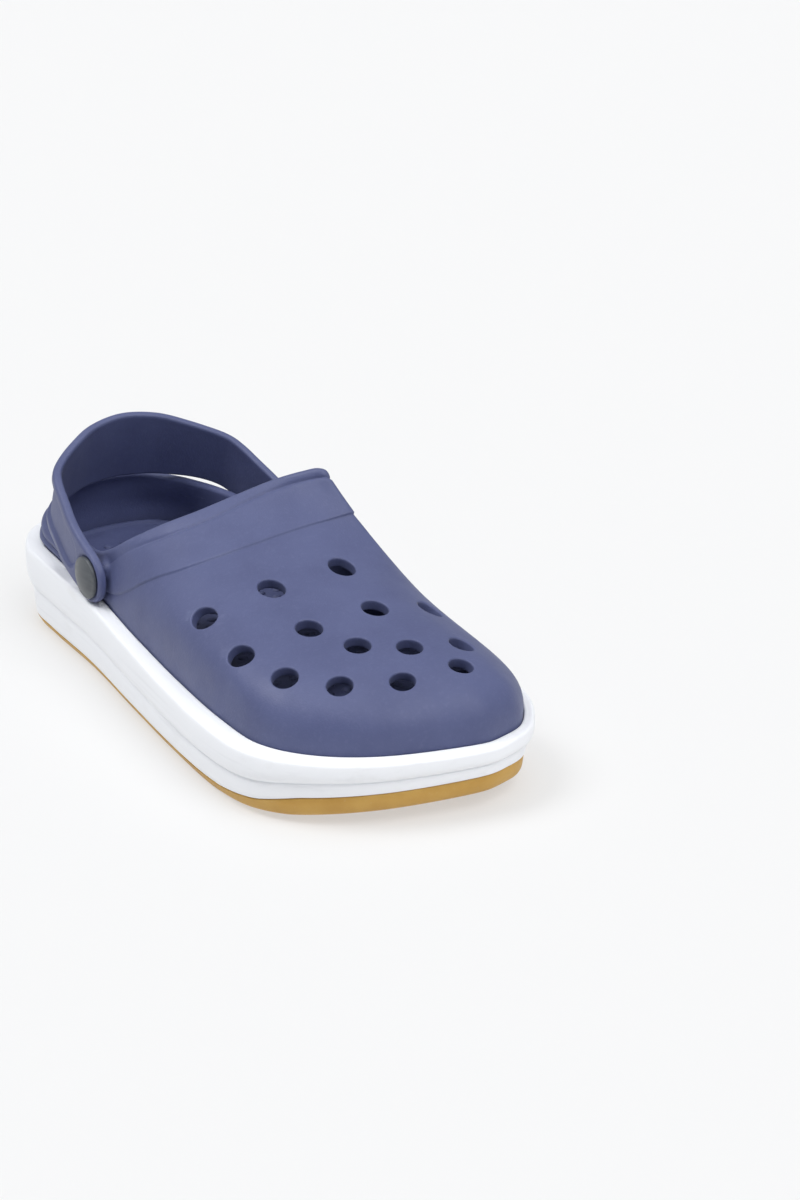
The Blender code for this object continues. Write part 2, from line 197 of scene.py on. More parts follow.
def make_piece(name, points, faces, material, body, replaced):
    """Object from points in mm and faces by index, riding on a body in place of CAD nodes."""
    data = bpy.data.meshes.new(name)
    data.from_pydata((np.asarray(points) * MM).tolist(), [], faces)
    mesh = bmesh.new()
    mesh.from_mesh(data)
    bmesh.ops.remove_doubles(mesh, verts=mesh.verts, dist=1e-6)
    bmesh.ops.recalc_face_normals(mesh, faces=mesh.faces)
    mesh.to_mesh(data)
    mesh.free()
    data.shade_smooth()
    data.set_sharp_from_angle(angle=math.radians(50))
    data.materials.append(material)
    item = bpy.data.objects.new(name, data)
    bpy.context.scene.collection.objects.link(item)
    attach(item, body)
    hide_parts(*replaced)
    return item


def strip_cap(first, count):
    """Faces that close a ring with strips from side to side."""
    faces = [(first, first + 1, first + count - 1)]
    for i in range(1, count // 2 - 1):
        faces.append((first + i, first + i + 1, first + count - i - 1, first + count - i))
    middle = first + count // 2
    faces.append((middle - 1, middle, middle + 1))
    return faces


def ring_faces(rows, columns, first=0):
    """Quads between rings that close on themselves."""
    faces = []
    for row in range(rows - 1):
        for i in range(columns):
            j = (i + 1) % columns
            low, high = first + row * columns, first + (row + 1) * columns
            faces.append((low + i, low + j, high + j, high + i))
    return faces


def lofted(rings):
    """Points and faces of a closed body through a stack of rings."""
    columns = len(rings[0])
    faces = ring_faces(len(rings), columns)
    faces += strip_cap(0, columns) + strip_cap((len(rings) - 1) * columns, columns)
    return np.concatenate(rings), faces


def turned(side, profile):
    """Points and faces turned about the pivot's axis, from (x, radius) running along X."""
    angles = 2 * np.pi * np.arange(TURNED_SIDES) / TURNED_SIDES
    rings = [np.column_stack([np.full(TURNED_SIDES, side * x), r * np.cos(angles),
                              r * np.sin(angles)]) for x, r in profile]
    return np.concatenate(rings) + PIVOT, ring_faces(len(rings), TURNED_SIDES)


def quarter(centre, radius, start, stop, steps=6):
    """Points of an arc in the plane of a profile, between two angles in degrees."""
    angles = np.radians(np.linspace(start, stop, steps))
    return [(centre[0] + radius * math.cos(a), centre[1] + radius * math.sin(a)) for a in angles]


# Materials

NAVY_DEEP = (0.066, 0.080, 0.187)
NAVY = (0.078, 0.094, 0.210)
# lighter navy, for random speckles and for the painted highlight on convex edges
NAVY_SPECKLE_AND_HIGHLIGHT = (0.130, 0.148, 0.276)
MIDSOLE_WHITE = (0.92, 0.935, 0.965)
MIDSOLE_GREY = (0.82, 0.835, 0.865)
MIDSOLE_SCUFF = (0.74, 0.74, 0.73)
GUM_DARK = (0.50, 0.275, 0.052)
GUM_LIGHT = (0.60, 0.36, 0.083)
GUM_DUST = (0.58, 0.44, 0.25)
RIVET_DARK = (0.055, 0.062, 0.072)
RIVET_LIGHT = (0.10, 0.11, 0.12)


def shader_of(name, roughness):
    material = bpy.data.materials.new(name)
    material.use_nodes = True
    shader = material.node_tree.nodes["Principled BSDF"]
    shader.inputs["Roughness"].default_value = roughness
    return material, shader


def connect(material, socket, target):
    material.node_tree.links.new(socket, target)


def add_node(material, kind, links=(), **settings):
    """Node with settings by socket or property name, and its inputs linked."""
    tree = material.node_tree
    item = tree.nodes.new(kind)
    for key, value in settings.items():
        if hasattr(item, key):
            setattr(item, key, value)
        else:
            item.inputs[key.replace("_", " ")].default_value = value
    for socket, source in links:
        tree.links.new(source, item.inputs[socket])
    return item


def noise(material, size, detail=3.0, stretch=(1, 1, 1), kind="ShaderNodeTexNoise"):
    """Noise whose cells are a size in mm, on the piece's own place in space."""
    tree = material.node_tree
    place = tree.nodes.get("place") or add_node(material, "ShaderNodeTexCoord", name="place")
    source = place.outputs["Object"]
    scaled = add_node(material, "ShaderNodeMapping", [("Vector", source)],
                      Scale=tuple(s / (size * MM) for s in stretch))
    texture = add_node(material, kind, [("Vector", scaled.outputs["Vector"])], Scale=1.0)
    if kind == "ShaderNodeTexNoise":
        texture.inputs["Detail"].default_value = detail
        return texture.outputs["Fac"]
    return texture.outputs["Distance"]


def ramp(material, factor, low, high, first=0.3, last=0.7):
    """Colours or greys from low to high as a factor rises."""
    item = add_node(material, "ShaderNodeValToRGB", [("Fac", factor)])
    for element, place, value in zip(item.color_ramp.elements, (first, last), (low, high)):
        element.position = place
        element.color = (*value, 1) if hasattr(value, "__len__") else (value, value, value, 1)
    return item.outputs["Color"]


def mixed(material, share, first, second):
    """Second colour laid over the first by the share socket. A colour is a socket or a tuple."""
    item = add_node(material, "ShaderNodeMix", data_type="RGBA")
    connect(material, share, item.inputs[0])
    for socket, value in ((item.inputs[6], first), (item.inputs[7], second)):
        if isinstance(value, bpy.types.NodeSocket):
            connect(material, value, socket)
        else:
            socket.default_value = (*value, 1)
    return item.outputs[2]


def add_bumps(material, shader, layers):
    """Bump layers of (height socket, depth in mm, strength), the last of them on top."""
    normal = None
    for height, depth, strength in layers:
        links = [("Height", height)] + ([("Normal", normal)] if normal else [])
        bump = add_node(material, "ShaderNodeBump", links, Distance=depth * MM, Strength=strength)
        normal = bump.outputs["Normal"]
    connect(material, normal, shader.inputs["Normal"])


def foam_material(name, roughness, grain=0.75, sheen=0.0):
    """Navy moulded foam: fine pebble grain, soft mottling, lighter speckles, and a painted highlight
    on convex edges.
    """
    material, shader = shader_of(name, roughness)
    mottle = noise(material, 22, 4)
    speckle = noise(material, 1.6, 3)
    colour = ramp(material, mottle, NAVY_DEEP, NAVY, 0.32, 0.62)
    colour = mixed(material, ramp(material, speckle, 0.0, 0.22, 0.52, 0.8), colour, NAVY_SPECKLE_AND_HIGHLIGHT)
    # painted highlight: convex edges and ridges are made lighter navy
    edges = add_node(material, "ShaderNodeNewGeometry").outputs["Pointiness"]
    edge_highlight = ramp(material, edges, 0.0, 0.5, 0.515, 0.60)
    colour = mixed(material, edge_highlight, colour, NAVY_SPECKLE_AND_HIGHLIGHT)
    connect(material, colour, shader.inputs["Base Color"])
    polish = ramp(material, noise(material, 14, 3), roughness - 0.07, roughness + 0.08)
    connect(material, polish, shader.inputs["Roughness"])
    pebbles = noise(material, grain, kind="ShaderNodeTexVoronoi")
    fine = noise(material, grain * 0.6, 2)
    waves = noise(material, 18, 1)
    add_bumps(material, shader, [(waves, 0.5, 0.25), (pebbles, 0.10, 0.45), (fine, 0.06, 0.4)])
    shader.inputs["Sheen Weight"].default_value = sheen
    shader.inputs["Sheen Roughness"].default_value = 0.6
    return material


def midsole_material():
    """White foam with faint moulding streaks along it and a few greyer scuffs."""
    material, shader = shader_of("white foam", 0.5)
    streaks = noise(material, 3.0, 4, stretch=(0.35, 0.05, 1.2))
    scuffs = noise(material, 9, 5, stretch=(1, 0.4, 1))
    streaked = ramp(material, streaks, 0.0, 0.45, 0.56, 0.74)
    colour = mixed(material, streaked, MIDSOLE_WHITE, MIDSOLE_GREY)
    scuffed = ramp(material, scuffs, 0.0, 0.25, 0.62, 0.8)
    colour = mixed(material, scuffed, colour, MIDSOLE_SCUFF)
    connect(material, colour, shader.inputs["Base Color"])
    connect(material, ramp(material, scuffs, 0.42, 0.62), shader.inputs["Roughness"])
    fine = noise(material, 0.5, 2)
    add_bumps(material, shader, [(streaks, 0.25, 0.25), (fine, 0.05, 0.3)])
    return material


def gum_material():
    """Gum rubber: warm tan, a touch darker in clouds, with a dull gloss."""
    material, shader = shader_of("gum rubber", 0.5)
    clouds = noise(material, 16, 4)
    colour = ramp(material, clouds, GUM_DARK, GUM_LIGHT)
    dust = noise(material, 1.2, 3)
    colour = mixed(material, ramp(material, dust, 0.0, 0.2, 0.6, 0.8), colour, GUM_DUST)
    connect(material, colour, shader.inputs["Base Color"])
    connect(material, ramp(material, dust, 0.42, 0.6), shader.inputs["Roughness"])
    add_bumps(material, shader, [(clouds, 0.3, 0.2), (noise(material, 0.45, 2), 0.05, 0.35)])
    return material


def rivet_material():
    """Hard moulded plastic, dark grey, with fine scratches."""
    material, shader = shader_of("rivet plastic", 0.38)
    scratches = noise(material, 2.2, 5, stretch=(1, 0.15, 1))
    colour = ramp(material, scratches, RIVET_DARK, RIVET_LIGHT)
    connect(material, colour, shader.inputs["Base Color"])
    connect(material, ramp(material, scratches, 0.32, 0.5), shader.inputs["Roughness"])
    add_bumps(material, shader, [(noise(material, 0.35, 2), 0.03, 0.3)])
    return material


FOAM = {
    "upper": foam_material("navy foam", 0.55, sheen=0.05),
    "strap": foam_material("strap foam", 0.52, sheen=0.05),
    "footbed": foam_material("footbed foam", 0.7, grain=1.1),
}
WHITE = midsole_material()
GUM = gum_material()
PLASTIC = rivet_material()


# Upper

def side_columns():
    """Outer surface of the upper, finely, as (levels, columns, xyz) from the ledge upwards."""
    shares = np.arange(COLUMNS) / COLUMNS
    low = with_height(FOOT, at(LEDGE, FOOT[:, 1]))
    drift = ease(at(OPENING_SHARES, shares) - shares)
    high = along_curve(smooth_curve(OPENING_POINTS), (shares + drift) % 1.0)
    reach = (high - low) * (1, 1, 0)
    rise = (high - low) * (0, 0, 1)
    length = np.linalg.norm(reach, axis=1)[:, None]
    lean = np.minimum(length / 70, 1)
    shoulder = low + rise * round_table(SHOULDER)[:, None] - reach / length * 3 * lean
    before = high - reach * (0.3 + 0.3 * lean) - rise * round_table(COLLAR)[:, None]
    s = np.linspace(0, 1, 241)[:, None, None]
    return ((1 - s) ** 3 * low + 3 * (1 - s) ** 2 * s * shoulder
            + 3 * (1 - s) * s ** 2 * before + s ** 3 * high)


def surface_normals(rings):
    """Outward unit normals of a stack of clockwise rings."""
    upwards = np.gradient(rings, axis=0)
    around = np.roll(rings, -1, axis=1) - np.roll(rings, 1, axis=1)
    normals = np.cross(upwards, around)
    return normals / np.linalg.norm(normals, axis=2)[:, :, None]


# How far the lip's groove and the collar's step lie below the edge, by share of the way round
GROOVE_DEPTH = [(0, 6.2), (0.08, 8.2), (0.18, 7.8), (0.23, 6), (0.3, 5.2), (0.8, 5), (0.9, 5.2),
                (1, 6.2)]
STEP_DEPTH = [(0, 30.4), (0.15, 30.6), (0.19, 28.7), (0.23, 25.5), (0.3, 22), (0.72, 14),
              (0.8, 16.5), (0.84, 20), (0.88, 24.5), (0.92, 27.8), (0.945, 29.8), (1, 30.4)]
GROOVE_CUT = 0.62            # depth of the lip's groove and half its width
GROOVE_WIDTH = 0.75
LIP_SWELL = 0.35             # rise of the lip above its groove
BAND_RISE = 0.22             # the collar's band stands out and the vamp below its step lies back
STEP_CUT = 0.62
HEEL_GROOVE = 8.4            # the two grooves round the heel cup, below its edge
HEEL_FOLD = 13.6
FOLD_CUT = 1.5               # depth of the valleys between the heel's folds
HEEL_SWELL = 1.9             # how far the folds stand out below the edge
LIP = 2.35                   # from the edge of the opening down to where its rounding begins
COLLAR_ROWS = 12             # rows of points on the collar's band and on the vamp below it
VAMP_ROWS = 54
GROOVE_OFFSETS = [-1.5, -0.95, -0.5, -0.2, 0, 0.2, 0.5, 0.95, 1.5]
STEP_OFFSETS = [-1.6, -0.9, -0.45, -0.15, 0.1, 0.35, 0.7, 1.2, 2.0]


class Upper:
    """Rows of the upper's surface, with the details moulded in it."""

    def __init__(self):
        fine = side_columns()
        gaps = np.linalg.norm(np.diff(fine, axis=0), axis=2)
        drop = np.concatenate([np.cumsum(gaps[::-1], axis=0)[::-1], np.zeros((1, COLUMNS))])
        total = drop[0]
        edge_y = fine[-1, :, 1]
        self.heel = smoothstep(35, 58, edge_y)                  # share of heel cup in each column
        self.fading = 1 - 0.75 * smoothstep(24, 38, edge_y)     # the lip's groove fades backwards
        groove, step = round_table(GROOVE_DEPTH), round_table(STEP_DEPTH)
        self.groove = groove + (HEEL_GROOVE - groove) * self.heel
        self.step = np.minimum(step + (HEEL_FOLD - step) * self.heel, total - 4)
        self.depths = self.row_depths(total)
        self.base = self.at_depths(fine, drop)
        self.normals = surface_normals(self.base)
        self.outside = self.base + self.normals * self.relief()[:, :, None]
        self.inside = self.base - self.normals * WALL
        self.flatten_at_pivots()

    def row_depths(self, total):
        """Distance of every row below the edge of the opening, lowest row first."""
        between = self.step + STEP_OFFSETS[0] - (self.groove + GROOVE_OFFSETS[-1])
        rows = [LIP + (self.groove + GROOVE_OFFSETS[0] - LIP) * t for t in (0, 0.5)]
        rows += [self.groove + offset for offset in GROOVE_OFFSETS]
        rows += [self.groove + GROOVE_OFFSETS[-1] + between * t / COLLAR_ROWS
                 for t in range(1, COLLAR_ROWS)]
        rows += [self.step + offset for offset in STEP_OFFSETS]
        below = total - rows[-1]
        rows += [rows[-1] + below * (t / VAMP_ROWS) for t in range(1, VAMP_ROWS + 1)]
        return np.array(rows)[::-1]

    def at_depths(self, fine, drop):
        """Points of the surface at the rows' depths, column by column."""
        points = np.empty((len(self.depths), COLUMNS, 3))
        for i in range(COLUMNS):
            for axis in range(3):
                points[:, i, axis] = np.interp(self.depths[:, i], drop[::-1, i], fine[::-1, i, axis])
        return points

    def relief(self):
        """How far the moulded detail stands proud of the plain surface."""
        d = self.depths
        groove = GROOVE_CUT * self.fading * np.exp(-((d - self.groove) / GROOVE_WIDTH) ** 2)
        lip = LIP_SWELL * np.exp(-((d - 2.4) / 1.9) ** 2) - groove
        band = smoothstep(0.45, -0.45, d - self.step)
        under = np.exp(-np.maximum(d - self.step, 0) / 9)
        vamp = BAND_RISE * band - STEP_CUT * (1 - band) * under
        folds = np.zeros_like(d)
        limits = [np.zeros(COLUMNS), self.groove, self.step, self.depths[0]]
        for top, bottom in zip(limits, limits[1:]):
            share = np.clip((d - top) / (bottom - top), 0, 1)
            inside = (d >= top) & (d < bottom)
            folds = np.where(inside, np.sin(np.pi * share) ** 0.6 - 1, folds)
        folds = FOLD_CUT * folds + HEEL_SWELL * smoothstep(3, 10, d)
        foot = smoothstep(0.0, 3.0, self.depths[0] - d)
        return ((lip + vamp) * (1 - self.heel) + folds * self.heel) * foot

    def flatten_at_pivots(self):
        """A raised pad outside and a flat spot inside where the rivets go through the wall."""
        for side in (-1, 1):
            for rows, reach, target in ((self.outside, BOSS_RADIUS, BOSS_X),
                                        (self.inside, SOCKET_RADIUS + 0.5, SOCKET_X[side])):
                current = rows[:, :, 0] * side
                on_this_side = current > 20
                away = np.hypot(rows[:, :, 1] - PIVOT[1], rows[:, :, 2] - PIVOT[2])
                share = smoothstep(reach + 1.0, reach - 0.6, away) * on_this_side
                share *= smoothstep(3, 7, self.depths)
                wanted = np.maximum(current, target)
                rows[:, :, 0] = side * (current + (wanted - current) * share)

    def crest(self, steps=9):
        """Rows of the rounded edge of the opening, from the outside over to the inside."""
        outer, inner = self.outside[-1], self.inside[-1]
        upwards = self.base[-1] - self.base[-2]
        upwards /= np.linalg.norm(upwards, axis=1)[:, None]
        middle, spread = (outer + inner) / 2, (outer - inner) / 2
        radius = np.linalg.norm(spread, axis=1)[:, None]
        angles = np.linspace(0, np.pi, steps + 2)[1:-1]
        return [middle + spread * math.cos(a) + upwards * radius * math.sin(a) for a in angles]


PATCH_REACH = 14             # round a vent's axis, the patch that gives the surface's curve
OTHER_WALL = 12              # beyond this along the axis lies some other part of the upper
RIM_MARGIN = 0.45            # from a vent's rounding to the ring that meets the grid
BENDS = np.radians([0, 18, 36, 54, 72, 90])                   # of a vent's rounding


class VentCutter:
    """Cuts oval holes with rounded rims through two facing grids of quads."""

    def __init__(self, points, quads, normals):
        self.points = [points]
        self.count = len(points)
        self.quads = quads
        self.normals = normals
        self.removed = set()
        self.faces = []

    def add_points(self, points):
        first = self.count
        self.points.append(points)
        self.count += len(points)
        return list(range(first, self.count))

    def frame_at(self, x, y, grid):
        """Centre and axes of a vent, from the points of the outer grid near it."""
        near = np.hypot(grid[:, 0] - x, grid[:, 1] - y) - grid[:, 2] * 0.2
        best = int(near.argmin())
        axis = self.normals[best]
        drop = ((x, y) - grid[best, :2]) @ axis[:2] / axis[2]
        centre = np.array([x, y, grid[best, 2] - drop])
        across = np.cross(axis, (0, 1, 0))
        across /= np.linalg.norm(across)
        return centre, across, np.cross(axis, across), axis

    def height_fit(self, local):
        """Smooth height over the vent's own plane, fitted to a patch of the surface."""
        near = np.hypot(local[:, 0], local[:, 1]) < PATCH_REACH
        patch = local[near & (np.abs(local[:, 2]) < OTHER_WALL)]
        powers = [(m, n) for m in range(5) for n in range(5 - m)]
        terms = np.stack([patch[:, 0] ** m * patch[:, 1] ** n for m, n in powers], axis=1)
        factors = np.linalg.lstsq(terms, patch[:, 2], rcond=None)[0]
        return lambda a, b: sum(f * a ** m * b ** n for f, (m, n) in zip(factors, powers))

    def open_cells(self, cells, local, reach):
        """Takes out the cells near the axis and returns the loop of points round them."""
        away = np.hypot(local[:, 0], local[:, 1])
        near = set(np.flatnonzero((away < reach) & (np.abs(local[:, 2]) < OTHER_WALL)))
        taken = [k for k in cells if near.intersection(self.quads[k])]
        self.removed.update(taken)
        edges = set()
        for k in taken:
            quad = self.quads[k]
            edges.update(zip(quad, quad[1:] + quad[:1]))
        following = {a: b for a, b in edges if (b, a) not in edges}
        start = min(following)
        loop = [start]
        while following[loop[-1]] != start:
            loop.append(following[loop[-1]])
        return loop

    def zip_loops(self, loop, loop_local, ring):
        """Triangles between the ragged loop of a grid and the smooth ring inside it."""
        angles = np.unwrap(np.arctan2(loop_local[:, 1], loop_local[:, 0]))
        if angles[-1] < angles[0]:
            loop, loop_local = loop[::-1], loop_local[::-1]
            angles = np.unwrap(np.arctan2(loop_local[:, 1], loop_local[:, 0]))
        sides = len(ring)
        turn = 2 * np.pi / sides
        first = math.floor(angles[0] / turn)
        ring_angle = [(first + j) * turn for j in range(sides + 1)]
        ring = [ring[(first + j) % sides] for j in range(sides + 1)]
        loop = list(loop) + [loop[0]]
        angles = np.append(angles, angles[0] + 2 * np.pi)
        i, j = 0, 0
        while i < len(loop) - 1 or j < sides:
            take_loop = j == sides or (i < len(loop) - 1 and angles[i + 1] <= ring_angle[j + 1])
            if take_loop:
                self.faces.append((loop[i], loop[i + 1], ring[j]))
                i += 1
            else:
                self.faces.append((loop[i], ring[j + 1], ring[j]))
                j += 1

    @staticmethod
    def vent_profile(outside, inside):
        """Radius and height function of every ring, over the outer rim and out at the inner one."""
        wide = VENT_RADIUS + VENT_ROUNDING + RIM_MARGIN
        turn = [(VENT_RADIUS + VENT_ROUNDING * (1 - math.sin(bend)),
                 VENT_ROUNDING * (1 - math.cos(bend))) for bend in BENDS]
        rows = [(wide, outside)]
        for radius, depth in turn:
            rows.append((radius, lambda a, b, depth=depth: outside(a, b) - depth))
        for share in (0.33, 0.67):
            rows.append((VENT_RADIUS, lambda a, b, share=share: (
                (outside(a, b) - VENT_ROUNDING) * (1 - share)
                + (inside(a, b) + VENT_ROUNDING) * share)))
        for radius, depth in turn[::-1]:
            rows.append((radius, lambda a, b, depth=depth: inside(a, b) + depth))
        rows.append((wide, inside))
        return rows

    def cut(self, x, y, outer_cells, inner_cells, outer_range, inner_range):
        """Opens one vent: its rings from the outside in, and their seams with both grids."""
        points = self.points[0]
        centre, across, along, axis = self.frame_at(x, y, points[outer_range])
        local = (points - centre) @ np.stack([across, along, axis], axis=1)
        heights = [self.height_fit(local[part]) for part in (outer_range, inner_range)]
        stretch = at(VENT_STRETCH, y)
        angles = 2 * np.pi * np.arange(VENT_SIDES) / VENT_SIDES
        rings = []
        for radius, height in self.vent_profile(*heights):
            a = radius * np.cos(angles)
            b = (radius + VENT_RADIUS * (stretch - 1)) * np.sin(angles)
            h = height(a, b)
            ring = centre + np.outer(a, across) + np.outer(b, along) + np.outer(h, axis)
            rings.append(self.add_points(ring))
        for low, high in zip(rings, rings[1:]):
            for i in range(VENT_SIDES):
                j = (i + 1) % VENT_SIDES
                self.faces.append((low[i], low[j], high[j], high[i]))
        reach = VENT_RADIUS + VENT_ROUNDING + 1.0
        oval = (1, 1 + VENT_RADIUS * (stretch - 1) / reach, 1)
        for cells, part, ring in ((outer_cells, outer_range, rings[0]),
                                  (inner_cells, inner_range, rings[-1])):
            rounded = np.full_like(local, np.inf)
            rounded[part] = local[part] / oval
            loop = self.open_cells(cells, rounded, reach)
            self.zip_loops(loop, local[loop], ring)


def make_upper():
    """One-piece foam clog with its lip, collar step, heel grooves and vents."""
    shape = Upper()
    levels = len(shape.depths)
    foot = with_height(FOOT, at(SEAT, FOOT[:, 1]) + GAP)
    floor_plan = inset(FOOT, WALL)
    floor = with_height(floor_plan, at(SEAT, floor_plan[:, 1]) + GAP + WALL)
    rings = [foot, *shape.outside, *shape.crest(), *shape.inside[::-1], floor]
    points, quads = lofted(rings)
    cutter = VentCutter(points, quads, shape.normals.reshape(-1, 3))
    outer_range = slice(COLUMNS, COLUMNS * (1 + levels))
    inner_start = COLUMNS * (len(rings) - 1 - levels)
    inner_range = slice(inner_start, inner_start + COLUMNS * levels)
    outer_cells = range(COLUMNS, COLUMNS * levels)
    inner_cells = range(inner_start, inner_start + COLUMNS * (levels - 1))
    for x, y in VENT_POINTS:
        cutter.cut(x, y, outer_cells, inner_cells, outer_range, inner_range)
    faces = [quad for k, quad in enumerate(quads) if k not in cutter.removed] + cutter.faces
    points = np.concatenate(cutter.points)
    used = sorted({i for face in faces for i in face})
    place = {old: new for new, old in enumerate(used)}
    faces = [tuple(place[i] for i in face) for face in faces]
    make_piece("upper_shell", points[used], faces, FOAM["upper"], "shoe", ["upper"])


# Soles and footbed

def make_midsole():
    """White foam tray with a recessed lower band, a soft step line, a full rim and a ledge."""
    base = at(OUTSOLE_TOP, RIM[:, 1])
    ledge = at(LEDGE, RIM[:, 1])
    seat = inset(FOOT, -GAP)
    profile = [(3.9, 0), (3.45, 0.012), (3.2, 0.04), (2.95, 0.15), (2.75, 0.27), (2.65, 0.345),
               (2.75, 0.375), (3.0, 0.392), (2.85, 0.41), (2.2, 0.43), (1.6, 0.455), (1.1, 0.49),
               (0.55, 0.55), (0.2, 0.62), (0.02, 0.70), (0.0, 0.80), (0.02, 0.90), (0.12, 0.945),
               (0.35, 0.975), (0.7, 0.993), (1.2, 1.0), (1.9, 1.0)]
    rings = [with_height(inset(RIM, depth), base + share * (ledge - base))
             for depth, share in profile]
    ledge_at = at(LEDGE, seat[:, 1])
    for back, lift in ((1.5, -0.1), (1.2, 0.06), (0.85, 0.2), (0.45, 0.22), (0.15, 0.1), (0, -0.1)):
        rings.append(with_height(inset(FOOT, -GAP - back), ledge_at + lift))
    rings.append(with_height(seat, at(SEAT, seat[:, 1])))
    points, faces = lofted(rings)
    make_piece("midsole_tray", points, faces, WHITE, "shoe", ["midsole"])


TREAD_DEPTH = 1.4
TREAD_BORDER = 14.5          # plain rim round the tread
LUG_SIZE = (7.6, 3.6, TREAD_DEPTH + 0.9)                      # its top is sunk in the sole
LUG_SLANT = math.radians(24)
LUG_ROWS = (-132, 38, 9.4, 7.2)                               # first y, rows, spacing in x and y


def make_outsole():
    """Gum rubber sole, turned under at the ground, with rows of tread lugs underneath."""
    ground = at(GROUND, RIM[:, 1])
    top = at(OUTSOLE_TOP, RIM[:, 1]) - GAP
    profile = [(11.0, TREAD_DEPTH), (10.4, TREAD_DEPTH * 0.8), (10.1, 0.15), (9.7, 0), (8.2, 0),
               (6.9, 0.12), (5.9, 0.5), (5.2, 1.1), (4.7, 1.9), (4.3, 2.8)]
    rings = [with_height(inset(RIM, depth), ground + rise) for depth, rise in profile]
    rings.append(with_height(inset(RIM, 3.7), top - 0.35))
    rings.append(with_height(inset(RIM, 4.0), top))
    points, faces = lofted(rings)
    item = make_piece("outsole_tread", points, faces, GUM, "shoe", ["outsole"])
    add_lugs(item)


def inside_plan(plan, x, y):
    """True where a point lies inside a closed plan."""
    x0, y0 = plan[:, 0], plan[:, 1]
    x1, y1 = np.roll(x0, -1), np.roll(y0, -1)
    crosses = (y0 > y) != (y1 > y)
    with np.errstate(divide="ignore", invalid="ignore"):
        where = x0 + (y - y0) * (x1 - x0) / (y1 - y0)
    return bool(np.count_nonzero(crosses & (x < where)) % 2)


def staggered(plan, first, rows, pitch_x, pitch_y):
    """Places (x, y, column) in staggered rows from a first y on, where they lie inside a plan."""
    places = []
    for row in range(rows):
        y = first + row * pitch_y
        for column in range(-6, 7):
            x = column * pitch_x + (pitch_x / 2 if row % 2 else 0)
            if inside_plan(plan, x, y):
                places.append((x, y, column))
    return places


def add_lugs(item):
    """Bevelled lugs in staggered chevron rows, each flush with the ground it stands on."""
    mesh = bmesh.new()
    mesh.from_mesh(item.data)
    for x, y, column in staggered(inset(RIM, TREAD_BORDER), *LUG_ROWS):
        add_lug(mesh, x, y, LUG_SLANT if column % 2 else -LUG_SLANT)
    mesh.to_mesh(item.data)
    mesh.free()


def add_lug(mesh, x, y, slant):
    low = at(GROUND, y)
    slope = math.atan2(at(GROUND, y + 2) - at(GROUND, y - 2), 4)
    size = Matrix.Diagonal([length * MM for length in LUG_SIZE] + [1])
    place = Matrix.Translation(Vector((x, y, low + LUG_SIZE[2] / 2 + 0.02)) * MM)
    turn = Matrix.Rotation(slope, 4, "X") @ Matrix.Rotation(slant, 4, "Z")
    made = bmesh.ops.create_cube(mesh, size=1, matrix=place @ turn @ size)
    edges = {edge for vert in made["verts"] for edge in vert.link_edges}
    bmesh.ops.bevel(mesh, geom=list(edges), offset=0.45 * MM, segments=2, affect="EDGES")


NUB_BORDER = 6.5             # plain rim round the nubs
DISH = 0.70                  # height of the dished middle, as a share of the footbed's
NUB_ROWS = (-112, 34, 7.6, 6.6)                               # first y, rows, spacing in x and y
NUB_PROFILE = [(2.0, -0.5), (2.0, 0.0), (1.85, 0.35), (1.45, 0.68), (0.8, 0.88), (0.2, 0.94)]


def make_footbed():
    """Foam insole, gently dished, with a raised border and rows of small nubs."""
    plan = inset(FOOT, WALL + 1.0)
    floor = at(SEAT, plan[:, 1]) + 2 * GAP + WALL
    rings = [with_height(plan, floor)]
    for depth, share in ((0, 0.66), (0.12, 0.80), (0.45, 0.92), (0.95, 0.985), (1.5, 1.0),
                         (2.4, 1.0), (3.0, 0.93), (3.6, 0.80), (5, 0.74), (9, 0.72), (14, 0.71)):
        rings.append(with_height(inset(plan, depth), floor + share * FOOTBED))
    points, faces = lofted(rings)
    parts = [points]
    for x, y, _ in staggered(inset(plan, NUB_BORDER), *NUB_ROWS):
        height = at(SEAT, y) + 2 * GAP + WALL + DISH * FOOTBED
        dome_points, dome_faces = nub(x, y, height, sum(map(len, parts)))
        parts.append(dome_points)
        faces += dome_faces
    make_piece("footbed_insole", np.concatenate(parts), faces, FOAM["footbed"], "shoe",
               ["footbed"])


def nub(x, y, height, first, sides=16):
    """Points and faces of a low rounded dome of foam, its underside closed inside the footbed."""
    angles = 2 * np.pi * np.arange(sides) / sides
    rings = []
    for radius, rise in NUB_PROFILE:
        rings.append(np.column_stack([x + radius * np.cos(angles), y + radius * np.sin(angles),
                                      np.full(sides, height + rise)]))
    faces = ring_faces(len(rings), sides, first)
    faces.append(tuple(first + i for i in range(sides)))
    faces.append(tuple(first + (len(rings) - 1) * sides + i for i in range(sides)))
    return np.concatenate(rings), faces


# Strap and rivets

PANEL_START = 18             # along the strap, the middle of the sunk panel's rounded end
PANEL_DEPTH = 1.4
BORDER = 4.2                 # width of the raised borders beside the panel
EDGE_ROUNDING = 1.35
CROWN = 0.3                  # how far the borders swell between their edges
SEAT_DEPTH = 0.55            # of the round seat under each rivet's cap
FACE_DEPTH = 0.25            # of the plain face, so that its crown stays within the strap's plan


def strap_path():
    """Outside of the strap in plan with its distance along, dense at the rounded ends."""
    half = [(-width, along, 0) for along, width in STRAP_PLAN]
    other = [(-x, y, z) for x, y, z in half[-2::-1]]
    fine = smooth_curve(half + other, closed=False)
    lengths = np.concatenate([[0], np.cumsum(np.linalg.norm(np.diff(fine, axis=0), axis=1))])
    angles = np.radians(np.linspace(3, 90, 26))
    start = LOBE_RADIUS * (1 - np.cos(angles))
    middle = np.linspace(LOBE_RADIUS, lengths[-1] - LOBE_RADIUS, 260)[1:-1]
    places = np.concatenate([start, middle, lengths[-1] - start[::-1]])
    path = np.stack([np.interp(places, lengths, axis) for axis in fine.T], axis=1)
    from_pivot = np.minimum(places, lengths[-1] - places) - LOBE_RADIUS
    return path, from_pivot


